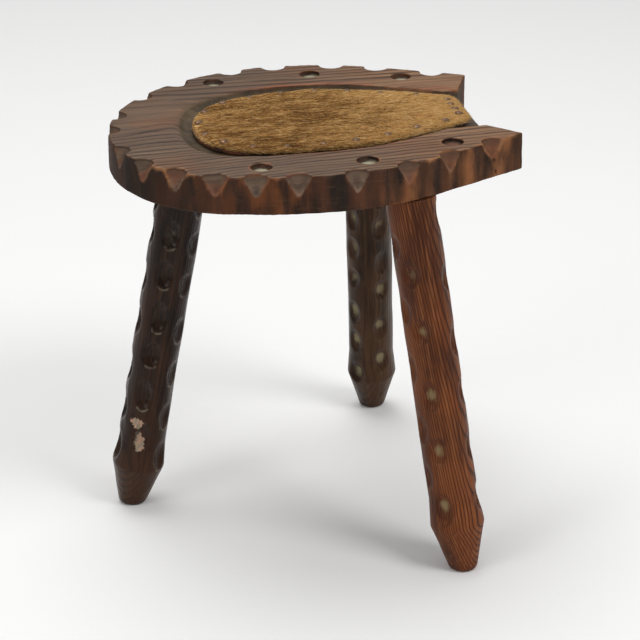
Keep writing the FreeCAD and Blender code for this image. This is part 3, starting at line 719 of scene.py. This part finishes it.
class STOOL_OT_seat(bpy.types.Operator):
    """Carved seat board with flutes down its side and worn arrises"""

    bl_idname = "stool.seat"
    bl_label = "Seat board"

    def execute(self, context):
        settings = context.scene.stool_seat
        seat = copy_node("seat_slab", "seat_board")
        remesh(seat, settings.voxel)
        apply_modifier(seat, "SMOOTH", factor=0.5, iterations=5)
        points, _ = read_points(seat)
        to_hide = distance_to_hide(points)
        rim = np.exp(-(((to_hide - RIM_OUT) / (10 * MM)) ** 2)) * (points[:, 2] > SEAT_TOP - 12 * MM)
        toe = np.clip((-0.02 - points[:, 0]) / 0.08, 0.0, 1.0)
        worn = weight_group(seat, "rim", rim * (0.12 + 0.88 * toe))
        apply_modifier(seat, "SMOOTH", factor=0.6, iterations=settings.rim_passes, vertex_group=worn)
        flute = self.flute(seat, settings)
        wander(seat, settings.wander, stretch=(0.16, 0.16, 0.16), place=(0.1, 0.0, 0.0))
        wander(seat, 0.6 * MM, stretch=(0.045, 0.045, 0.045), place=(0.0, 0.2, 0.0))
        # The flute attribute carries the painted shade of the flutes.
        write_attribute(seat, "flute", flute)
        self.mark(seat)
        finish_piece(seat, "seat_slab", seat_wood())
        return {"FINISHED"}

    def flute(self, seat, settings):
        """Knife flutes down the side: a hollow on each side of every scoop, deeper towards the heel."""
        points, normals = read_points(seat)
        chance = random.Random(4)
        bearing = np.arctan2(points[:, 1], points[:, 0])
        hollows = np.zeros(len(points))
        scoops = scoop_bearings()
        widest = math.radians(23)
        for first, second in zip(scoops, scoops[1:]):
            gap = second - first
            if gap < widest:
                for share in (0.27, 0.75):
                    middle = first + gap * (share + chance.uniform(-0.05, 0.05))
                    width = gap * chance.uniform(0.14, 0.24)
                    drift = (points[:, 2] - SEAT_TOP) * chance.uniform(-0.6, 0.6)
                    shape = np.clip(1 - ((bearing - middle + drift) / width) ** 2, 0, 1)
                    hollows = np.maximum(hollows, shape * chance.uniform(0.5, 1.0))
        side = np.clip(1.3 - 2.0 * np.abs(normals[:, 2]), 0, 1)
        heelward = np.clip((points[:, 0] + 0.16) / 0.2, 0.2, 1.0)
        outer = distance_to_hide(points) > SIDE_OUT
        flat = normals * np.array((1, 1, 0))
        hollows = hollows * side * outer
        write_points(seat, points - flat * (hollows * heelward * settings.flute_depth)[:, None])
        return hollows * (0.4 + 0.6 * heelward)

    def mark(self, seat):
        """Store where the recess, the scoops and the worn arrises are."""
        points, normals = read_points(seat)
        to_hide = distance_to_hide(points)
        below = SEAT_TOP - points[:, 2]
        inside = to_hide < DIVIDE_OUT
        open_top = np.clip((normals[:, 2] - 0.2) / 0.15, 0, 1) * (below < 25 * MM)
        recess = np.clip((below - 0.7 * MM) / (3.5 * MM), 0, 1) * inside * (below < 14 * MM)
        scoop = np.clip((below - 1.2 * MM) / (1.5 * MM), 0, 1) * ~inside * open_top
        relief = bulge(seat, 3)
        ledge = np.exp(-(((to_hide - RIM_OUT) / (4 * MM)) ** 2))
        ledge = ledge * np.clip((points[:, 0] + 0.08) / 0.08, 0, 0.85)
        pit = (np.abs(below - ORNAMENT_FLOOR) < 1.6 * MM) & ~inside
        dust = np.clip((normals[:, 2] - 0.75) / 0.15, 0, 1) * pit
        write_attribute(seat, "ledge", ledge * (normals[:, 2] > 0.5))
        write_attribute(seat, "dust", dust)
        write_attribute(seat, "recess", recess)
        write_attribute(seat, "scoop", scoop)
        upper = np.clip((points[:, 2] - UNDERSIDE) / (4 * MM) - 1, 0, 1)
        write_attribute(seat, "arris", np.clip((relief - 0.12 * MM) / (0.35 * MM), 0, 0.75) * upper)
        # Painted shade: the creases of the board, found by how far each vertex sinks below its neighbours.
        write_attribute(seat, "crease_shade", np.clip((-relief - 0.12 * MM) / (0.5 * MM), 0, 0.9))


class Leg:
    """Axis and radius of a round leg, read from its CAD mesh."""

    def __init__(self, obj):
        faces = [face for face in obj.data.polygons if 0.1 < face.center.z < UNDERSIDE - 1 * MM]
        sides = np.array([face.normal for face in faces])
        areas = np.array([face.area for face in faces])
        _, directions = np.linalg.eigh(sides.T @ (sides * areas[:, None]))
        self.axis = Vector(directions[:, 0])
        if self.axis.z < 0:
            self.axis.negate()
        self.across = self.axis.cross(Vector((0, 1, 0))).normalized()
        self.beyond = self.axis.cross(self.across)
        points, _ = read_points(obj)
        ring = points[np.abs(points[:, 2] - UNDERSIDE) < 0.1 * MM]
        flat = np.stack([ring @ np.array(self.across), ring @ np.array(self.beyond)], axis=1)
        table = np.concatenate([2 * flat, np.ones((len(flat), 1))], axis=1)
        east, north, rest = np.linalg.lstsq(table, (flat**2).sum(1), rcond=None)[0]
        self.radius = math.sqrt(rest + east**2 + north**2)
        middle = self.across * east + self.beyond * north
        self.foot = middle - self.axis * (middle.z / self.axis.z)
        self.length = UNDERSIDE / self.axis.z

    def out(self, angle):
        """Direction out of the leg at an angle round it."""
        return Matrix.Rotation(angle, 3, self.axis) @ self.across

    def at(self, height, angle, depth=0.0):
        """Point at a distance along the leg, sunk below its surface by a depth."""
        return self.foot + self.axis * height + self.out(angle) * (self.radius - depth)


class STOOL_OT_legs(bpy.types.Operator):
    """Three legs with columns of gouge cuts"""

    bl_idname = "stool.legs"
    bl_label = "Legs"

    # A column of cuts: bearing in degrees from the front, share of worn cuts, depth factor.
    # Grain: spacing of the rings, place of their middle, lean, contrast.
    # A chip: height in millimetres, bearing in radians, width and length in millimetres.
    # First and pitch: height of the lowest cut and rise to the next, in millimetres.
    looks = {
        "toe_leg": {
            "columns": (
                (-82, 0, 1.1),
                (-6, 0, 0.6),
                (58, 0, 0.15),
                (120, 0, 0.5),
                (178, 0, 1),
                (232, 0, 1),
            ),
            "lip": 0.7,
            "shade": 0.12,
            "shine": 0.22,
            "foot": 0.5,
            "grain": (3.0 * MM, (0.05, 0.04), 0.03, 0.35),
            "tints": ("140a05", "2f1a0e", "4c301c", "8a7f6c", "b48d76"),
            "first": 71,
            "pitch": 46,
            "chips": ((103, -0.3, 10, 11), (77, 0.0, 8, 17), (50, 0.16, 6, 10)),
        },
        "near_leg": {
            "columns": (
                (-20, 1, 0.3),
                (-62, 0.2, 0.25),
                (-112, 0.3, 0.8),
                (200, 0.3, 1.2),
                (84, 1, 0.8),
                (145, 0.4, 1.2),
            ),
            "lip": 0.15,
            "shade": 0.35,
            "shine": 0.42,
            "foot": 0.0,
            "grain": (2.3 * MM, (-0.055, 0.03), 0.07, 0.9),
            "tints": ("43200f", "763f1e", "9a6038", "8c7a58", "8c7a58"),
            "first": 75,
            "pitch": 58,
            "chips": (),
        },
        "far_leg": {
            "columns": (
                (-46, 1, 0.3),
                (28, 0.8, 0.15),
                (125, 0.4, 0.8),
                (180, 0.5, 0.8),
                (235, 0.4, 0.8),
            ),
            "lip": 0.1,
            "shade": 0.15,
            "shine": 0.3,
            "foot": 0.0,
            "grain": (4.0 * MM, (0.06, 0.04), 0.03, 0.35),
            "tints": ("1e1309", "452b17", "5c4127", "857a5c", "857a5c"),
            "first": 58,
            "pitch": 42,
            "chips": (),
        },
    }

    def execute(self, context):
        settings = context.scene.stool_legs
        for seed, (node, look) in enumerate(self.looks.items()):
            leg = copy_node(node, node.replace("leg", "leg_gouged"))
            shape = Leg(leg)
            cuts = self.plan(shape, look, seed, settings)
            self.gouge(leg, shape, cuts, settings)
            remesh(leg, settings.voxel)
            apply_modifier(leg, "SMOOTH", factor=0.5, iterations=6)
            wander(leg, 1.8 * MM, stretch=(0.1, 0.1, 0.25), place=(0.0, 0.0, 0.1 * seed))
            self.mark(leg, shape, cuts, look, settings)
            slot = f"{node}_wood"
            finish_piece(leg, node, leg_wood(slot, shape, look))
        return {"FINISHED"}

    def plan(self, shape, look, seed, settings):
        """Place, direction, length and wear of each cut, in columns that alternate in height."""
        chance = random.Random(seed)
        cuts = []
        pitch = look["pitch"] * MM
        for number, (column, wear, deep) in enumerate(look["columns"]):
            angle = self.facing(shape) + math.radians(column)
            height = look["first"] * MM + (number % 2) * pitch / 2
            while height < shape.length - 18 * MM:
                turn = angle + chance.uniform(-0.1, 0.1)
                depth = settings.depth * deep * chance.uniform(0.75, 1.2)
                stretch = chance.uniform(0.8, 1.15)
                lowest = math.hypot(
                    settings.cut_radius * math.cos(settings.tilt),
                    settings.cut_length * stretch * math.sin(settings.tilt),
                )
                middle = shape.at(height, turn, depth - lowest)
                lower = 1.2 - 0.6 * height / shape.length
                worn = lower * chance.uniform(0.8, 1.0) * (chance.random() < wear)
                cuts.append((middle, shape.out(turn), stretch, worn))
                height += pitch * chance.uniform(0.88, 1.12)
        return cuts

    def turn_of(self, shape, out, settings):
        """Rotation of a cut: long axis up the leg, leaning so that the lower end digs in."""
        across = shape.axis.cross(out).normalized()
        up = Matrix.Rotation(settings.tilt, 3, across) @ shape.axis
        return Matrix((across.cross(up), across, up)).transposed()

    def gouge(self, leg, shape, cuts, settings):
        """Take the cuts out of the leg."""
        cutters = []
        for middle, out, stretch, _ in cuts:
            bpy.ops.mesh.primitive_uv_sphere_add(segments=32, ring_count=20, radius=1.0, location=middle)
            cutter = bpy.context.object
            cutter.scale = (settings.cut_radius, settings.cut_radius, settings.cut_length * stretch)
            cutter.rotation_euler = self.turn_of(shape, out, settings).to_euler()
            cutters.append(cutter)
        select_only(*cutters)
        bpy.ops.object.join()
        cutter = bpy.context.object
        apply_modifier(
            leg, "BOOLEAN", operation="DIFFERENCE", object=cutter, solver="EXACT", use_self=True
        )
        bpy.data.objects.remove(cutter)

    def mark(self, leg, shape, cuts, look, settings):
        """Store the painted shade in the hollows, their worn lower ends, the painted glint on their lower
        lips, the chips and the painted shade in the creases.
        """
        points, _ = read_points(leg)
        soften = np.zeros(len(points))
        hollow = np.zeros(len(points))
        worn = np.zeros(len(points))
        lip = np.zeros(len(points))
        for middle, out, stretch, wear in cuts:
            turn = np.array(self.turn_of(shape, out, settings))
            near = (points - np.array(middle)) @ turn
            size = np.array((settings.cut_radius, settings.cut_radius, settings.cut_length * stretch))
            reach = np.linalg.norm(near / size, axis=1)
            inside = np.clip((1.06 - reach) / 0.05, 0, 1)
            # The lower lip of each cut gets a painted glint, a pale crescent.
            lower = np.clip(-near[:, 2] / (6 * MM) - 0.4, 0, 1) * (np.abs(near[:, 1]) < 6 * MM)
            rim = np.clip((1.1 - reach) / 0.04, 0, 1) * np.clip((reach - 1.0) / 0.03, 0, 1)
            lip = np.maximum(lip, lower * rim * look["lip"])
            heart = np.exp(-((near[:, 1] / (7 * MM)) ** 2) - ((near[:, 2] / (9.5 * MM) + 0.7) ** 2))
            # Painted shade inside each cut, as strong as the look's shade, less in the worn heart.
            hollow = np.maximum(hollow, inside * (1 - 0.7 * heart) * look["shade"])
            worn = np.maximum(worn, (reach < 1.3) * heart * wear)
            soften = np.maximum(soften, np.clip((1.25 - reach) / 0.1, 0, 1))
        cut_group = weight_group(leg, "cuts", soften)
        apply_modifier(leg, "SMOOTH", factor=0.5, iterations=14, vertex_group=cut_group)
        relief = bulge(leg, 4)
        chips = np.zeros(len(points))
        for height, angle, wide, tall in look["chips"]:
            spot = shape.at(height * MM, self.facing(shape) + angle)
            off = points - np.array(spot)
            along = off @ np.array(shape.axis)
            aside = np.linalg.norm(off - along[:, None] * np.array(shape.axis), axis=1)
            spread = (along / (tall * MM)) ** 2 + (aside / (wide * MM)) ** 2
            chips = np.maximum(chips, np.exp(-spread) * 0.8)
        write_attribute(leg, "hollow", hollow)
        write_attribute(leg, "lip", lip)
        write_attribute(leg, "worn", worn)
        write_attribute(leg, "chips", chips)
        # Painted shade in the creases of the leg, found by how far each vertex sinks below its neighbours.
        write_attribute(leg, "crease_shade", np.clip((-relief - 0.08 * MM) / (0.4 * MM), 0, 0.6))

    def facing(self, shape):
        """Angle round the leg that looks out to the front of the stool."""
        front = Vector((-0.25, -1.0, 0.0))
        return math.atan2(front.dot(shape.beyond), front.dot(shape.across))


class STOOL_OT_pad(bpy.types.Operator):
    """Hide stuffed by a cloth simulation, and the wadding under it"""

    bl_idname = "stool.pad"
    bl_label = "Hide and wadding"

    def execute(self, context):
        settings = context.scene.stool_pad
        hide = copy_node("hide_cover", "cowhide")
        remesh(hide, settings.voxel)
        self.stuff(hide, settings)
        apply_modifier(hide, "SUBSURF", levels=1, render_levels=1)
        finish_piece(hide, "hide_cover", hide_material())
        wadding = copy_node("wadding", "cotton_wadding")
        remesh(wadding, 2.0 * MM)
        wander(wadding, 0.5 * MM, stretch=(0.03, 0.03, 0.03))
        apply_modifier(wadding, "SMOOTH", factor=0.5, iterations=2)
        finish_piece(wadding, "wadding", wadding_material())
        return {"FINISHED"}

    def stuff(self, hide, settings):
        """Swell the hide between its tacks, then cap how far any point moved."""
        before, _ = read_points(hide)
        top = before[:, 2].max()
        pins = before[:, 2] < top - 2.2 * MM
        for centre in tack_places():
            reach = np.hypot(before[:, 0] - centre.x, before[:, 1] - centre.y)
            pins |= reach < 4.2 * MM
        group = weight_group(hide, "pins", pins * 1.0)
        cloth = hide.modifiers.new("cloth", "CLOTH")
        cloth.settings.vertex_group_mass = group
        cloth.settings.use_pressure = True
        cloth.settings.uniform_pressure_force = settings.pressure
        cloth.settings.tension_stiffness = 12.0
        cloth.settings.compression_stiffness = 12.0
        cloth.settings.bending_stiffness = 0.6
        cloth.settings.effector_weights.gravity = 0.0
        cloth.collision_settings.use_collision = False
        scene = bpy.context.scene
        cloth.point_cache.frame_start = 1
        cloth.point_cache.frame_end = 20
        for step in range(1, 21):
            scene.frame_set(step)
        select_only(hide)
        bpy.ops.object.modifier_apply(modifier="cloth")
        scene.frame_set(1)
        after, _ = read_points(hide)
        moved = after - before
        far = np.linalg.norm(moved, axis=1)
        scale = np.minimum(1.0, settings.swell / np.maximum(far, 1e-9))
        write_points(hide, before + moved * scale[:, None])


class STOOL_OT_hair(bpy.types.Operator):
    """Short hair lying along the hide, in three shades"""

    bl_idname = "stool.hair"
    bl_label = "Hair"

    def execute(self, context):
        settings = context.scene.stool_pad
        hide = bpy.data.objects["cowhide"]
        shades = (
            ("golden_hair", 3, ("845b2c", "bb8d50", "dfbb7c")),
            ("pale_hair", 7, ("946a35", "cba263", "edd09a")),
            ("brown_hair", 11, ("54361a", "98703c", "c79f62")),
        )
        for name, seed, tints in shades:
            strand = self.strand(settings, name)
            hair = self.spread(hide, strand, name, settings, seed)
            bpy.data.objects.remove(strand)
            finish_piece(hair, None, hair_material(name, *tints))
        return {"FINISHED"}

    def strand(self, settings, name):
        """One hair: a long three-sided spike lying along x, root at the origin."""
        bpy.ops.mesh.primitive_cone_add(
            vertices=3, radius1=settings.hair_width / 2, radius2=0.0, depth=settings.hair_length
        )
        strand = bpy.context.object
        strand.name = f"{name}_strand"
        lay_down = Matrix.Rotation(math.radians(90), 4, "Y")
        strand.data.transform(lay_down @ Matrix.Translation((0, 0, settings.hair_length / 2)))
        return strand

    def spread(self, hide, strand, name, settings, seed):
        """Scatter hairs over the upper side of the hide and keep them as one mesh."""
        bpy.ops.mesh.primitive_plane_add(size=1.0)
        hair = bpy.context.object
        hair.name = name
        tree = scatter_tree(name, hide, strand, settings.hair_density, seed)
        modifier = hair.modifiers.new("scatter", "NODES")
        modifier.node_group = tree
        select_only(hair)
        bpy.ops.object.modifier_apply(modifier="scatter")
        bpy.data.node_groups.remove(tree)
        return hair


def scatter_tree(name, surface, strand, density, seed):
    """Node group that lays copies of a strand on the upward faces of a surface."""
    tree = bpy.data.node_groups.new(f"{name}_scatter", "GeometryNodeTree")
    tree.interface.new_socket("Geometry", in_out="INPUT", socket_type="NodeSocketGeometry")
    tree.interface.new_socket("Geometry", in_out="OUTPUT", socket_type="NodeSocketGeometry")

    def add(kind, settings=None, **inputs):
        made = tree.nodes.new(kind)
        for key, value in (settings or {}).items():
            setattr(made, key, value)
        for key, value in inputs.items():
            socket = made.inputs[key.replace("_", " ")]
            if isinstance(value, bpy.types.NodeSocket):
                tree.links.new(value, socket)
            else:
                socket.default_value = value
        return made

    def random_number(low, high, offset):
        made = add("FunctionNodeRandomValue", {"data_type": "FLOAT"})
        made.inputs[2].default_value = low
        made.inputs[3].default_value = high
        made.inputs["Seed"].default_value = seed * 10 + offset
        return made.outputs[1]

    def blend(value, factor, rest):
        made = add("ShaderNodeMath", {"operation": "MULTIPLY_ADD"})
        for socket, number in zip(made.inputs, (value, factor, rest)):
            if isinstance(number, bpy.types.NodeSocket):
                tree.links.new(number, socket)
            else:
                socket.default_value = number
        return made.outputs[0]

    ground = add("GeometryNodeObjectInfo", {"transform_space": "RELATIVE"}, Object=surface)
    blade = add("GeometryNodeObjectInfo", {"transform_space": "ORIGINAL"}, Object=strand)
    facing = add("ShaderNodeSeparateXYZ", Vector=add("GeometryNodeInputNormal").outputs[0])
    up = add("FunctionNodeCompare", {"data_type": "FLOAT", "operation": "GREATER_THAN"})
    tree.links.new(facing.outputs["Z"], up.inputs[0])
    up.inputs[1].default_value = 0.3
    points = add(
        "GeometryNodeDistributePointsOnFaces",
        Mesh=ground.outputs["Geometry"],
        Selection=up.outputs[0],
        Density=density,
        Seed=seed,
    )
    place = add("ShaderNodeSeparateXYZ", Vector=add("GeometryNodeInputPosition").outputs[0])
    flow = add("ShaderNodeTexNoise", Scale=22.0, Detail=2.0)
    swirl = blend(flow.outputs["Fac"], 1.8, random_number(-1.15, -0.65, 1))
    fan = blend(place.outputs["Y"], 2.6, swirl)
    yaw = blend(1.0, HAIR_HEADING, fan)
    lift = random_number(-0.24, -0.02, 3)
    rotation = add("ShaderNodeCombineXYZ", X=random_number(-0.5, 0.5, 2), Y=lift, Z=yaw)
    heel = add("ShaderNodeMapRange", Value=place.outputs["X"])
    for socket, number in zip(list(heel.inputs)[1:5], (0.125, 0.16, 1.0, 0.55)):
        socket.default_value = number
    size = add("ShaderNodeMath", {"operation": "MULTIPLY"})
    tree.links.new(random_number(0.6, 1.15, 4), size.inputs[0])
    tree.links.new(heel.outputs[0], size.inputs[1])
    placed = add(
        "GeometryNodeInstanceOnPoints",
        Points=points.outputs["Points"],
        Instance=blade.outputs["Geometry"],
        Rotation=rotation.outputs[0],
        Scale=size.outputs[0],
    )
    shade = add(
        "GeometryNodeStoreNamedAttribute", {"data_type": "FLOAT", "domain": "INSTANCE"}, Name="shade"
    )
    tree.links.new(placed.outputs[0], shade.inputs["Geometry"])
    tree.links.new(random_number(0.0, 1.0, 5), shade.inputs["Value"])
    real = add("GeometryNodeRealizeInstances", Geometry=shade.outputs[0])
    out = add("NodeGroupOutput")
    tree.links.new(real.outputs[0], out.inputs[0])
    return tree


def tack_places():
    """Middle of each tack, from the separate solids of the CAD node."""
    points = sorted((v.co.copy() for v in NODES["hide_tacks"].data.vertices), key=lambda p: p.z)
    floor = points[0].z
    tips = [p for p in points if p.z < floor + 0.05 * MM]
    places = []
    for tip in tips:
        near = [p for p in places if math.hypot(p[0].x - tip.x, p[0].y - tip.y) < 5 * MM]
        if near:
            near[0].append(tip)
        else:
            places.append([tip])
    return [sum(group, Vector()) / len(group) for group in places]


class STOOL_OT_tacks(bpy.types.Operator):
    """Hammered tack heads, each a little tilted"""

    bl_idname = "stool.tacks"
    bl_label = "Tacks"

    def execute(self, context):
        low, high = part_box("hide_tacks")
        chance = random.Random(5)
        tacks = []
        for place in tack_places():
            tack = self.tack(high.z - low.z)
            tilt = (chance.uniform(-0.16, 0.16), chance.uniform(-0.16, 0.16))
            lean = Euler((*tilt, chance.uniform(0, 6.28)))
            sunk = chance.uniform(0.6, 1.8) * MM
            crown = Matrix.Translation((place.x, place.y, high.z - sunk))
            tack.data.transform(crown @ lean.to_matrix().to_4x4())
            tacks.append(tack)
        select_only(*tacks)
        bpy.ops.object.join()
        group = context.object
        group.name = "upholstery_tacks"
        wander(group, 0.35 * MM, stretch=(0.012, 0.012, 0.012))
        finish_piece(group, "hide_tacks", tack_material())
        return {"FINISHED"}

    def tack(self, length):
        """Domed head with a thin shank, its crown at the origin."""
        bpy.ops.mesh.primitive_uv_sphere_add(segments=20, ring_count=12, radius=HEAD_RADIUS)
        tack = bpy.context.object
        bpy.ops.object.mode_set(mode="EDIT")
        bpy.ops.mesh.select_all(action="SELECT")
        bpy.ops.mesh.bisect(plane_co=(0, 0, 0), plane_no=(0, 0, 1), clear_inner=True, use_fill=True)
        bpy.ops.mesh.select_all(action="SELECT")
        bpy.ops.transform.resize(value=(1, 1, 0.6))
        bpy.ops.mesh.select_all(action="DESELECT")
        bpy.ops.object.mode_set(mode="OBJECT")
        for face in tack.data.polygons:
            face.select = face.normal.z < -0.9
        bpy.ops.object.mode_set(mode="EDIT")
        bpy.ops.mesh.select_mode(type="FACE")
        bpy.ops.mesh.inset(thickness=HEAD_RADIUS - SHANK_WIDTH)
        shank = length - 3 * MM
        bpy.ops.mesh.extrude_region_move(TRANSFORM_OT_translate={"value": (0, 0, -shank)})
        bpy.ops.transform.resize(value=(0.25, 0.25, 1))
        bpy.ops.object.mode_set(mode="OBJECT")
        tack.data.transform(Matrix.Translation((0, 0, -HEAD_HEIGHT)))
        select_only(tack)
        bpy.ops.object.shade_smooth()
        return tack


class STOOL_PT_panel(bpy.types.Panel):
    """List of the operators, in the order in which they run"""

    bl_idname = "STOOL_PT_panel"
    bl_label = "Three leg stool"
    bl_space_type = "VIEW_3D"
    bl_region_type = "UI"
    bl_category = "Stool"

    def draw(self, context):
        for operator in OPERATORS:
            self.layout.operator(operator.bl_idname)
        for name in SETTINGS:
            box = self.layout.box()
            settings = getattr(context.scene, name)
            for key in settings.__annotations__:
                box.prop(settings, key)


SETTINGS = {
    "stool_stage": StageSettings,
    "stool_seat": SeatSettings,
    "stool_legs": LegSettings,
    "stool_pad": PadSettings,
}
OPERATORS = (STOOL_OT_stage, STOOL_OT_seat, STOOL_OT_legs, STOOL_OT_pad, STOOL_OT_hair, STOOL_OT_tacks)
CLASSES = tuple(SETTINGS.values()) + OPERATORS + (STOOL_PT_panel,)


def register():
    """Register every class and hang the settings on the scene."""
    for cls in CLASSES:
        bpy.utils.register_class(cls)
    for name, cls in SETTINGS.items():
        setattr(bpy.types.Scene, name, bpy.props.PointerProperty(type=cls))


def unregister():
    """Undo register."""
    for name in SETTINGS:
        delattr(bpy.types.Scene, name)
    for cls in reversed(CLASSES):
        bpy.utils.unregister_class(cls)


def main():
    register()
    bpy.ops.stool.stage()
    bpy.ops.stool.seat()
    bpy.ops.stool.legs()
    bpy.ops.stool.pad()
    bpy.ops.stool.hair()
    bpy.ops.stool.tacks()


if __name__ == "__main__":
    main()
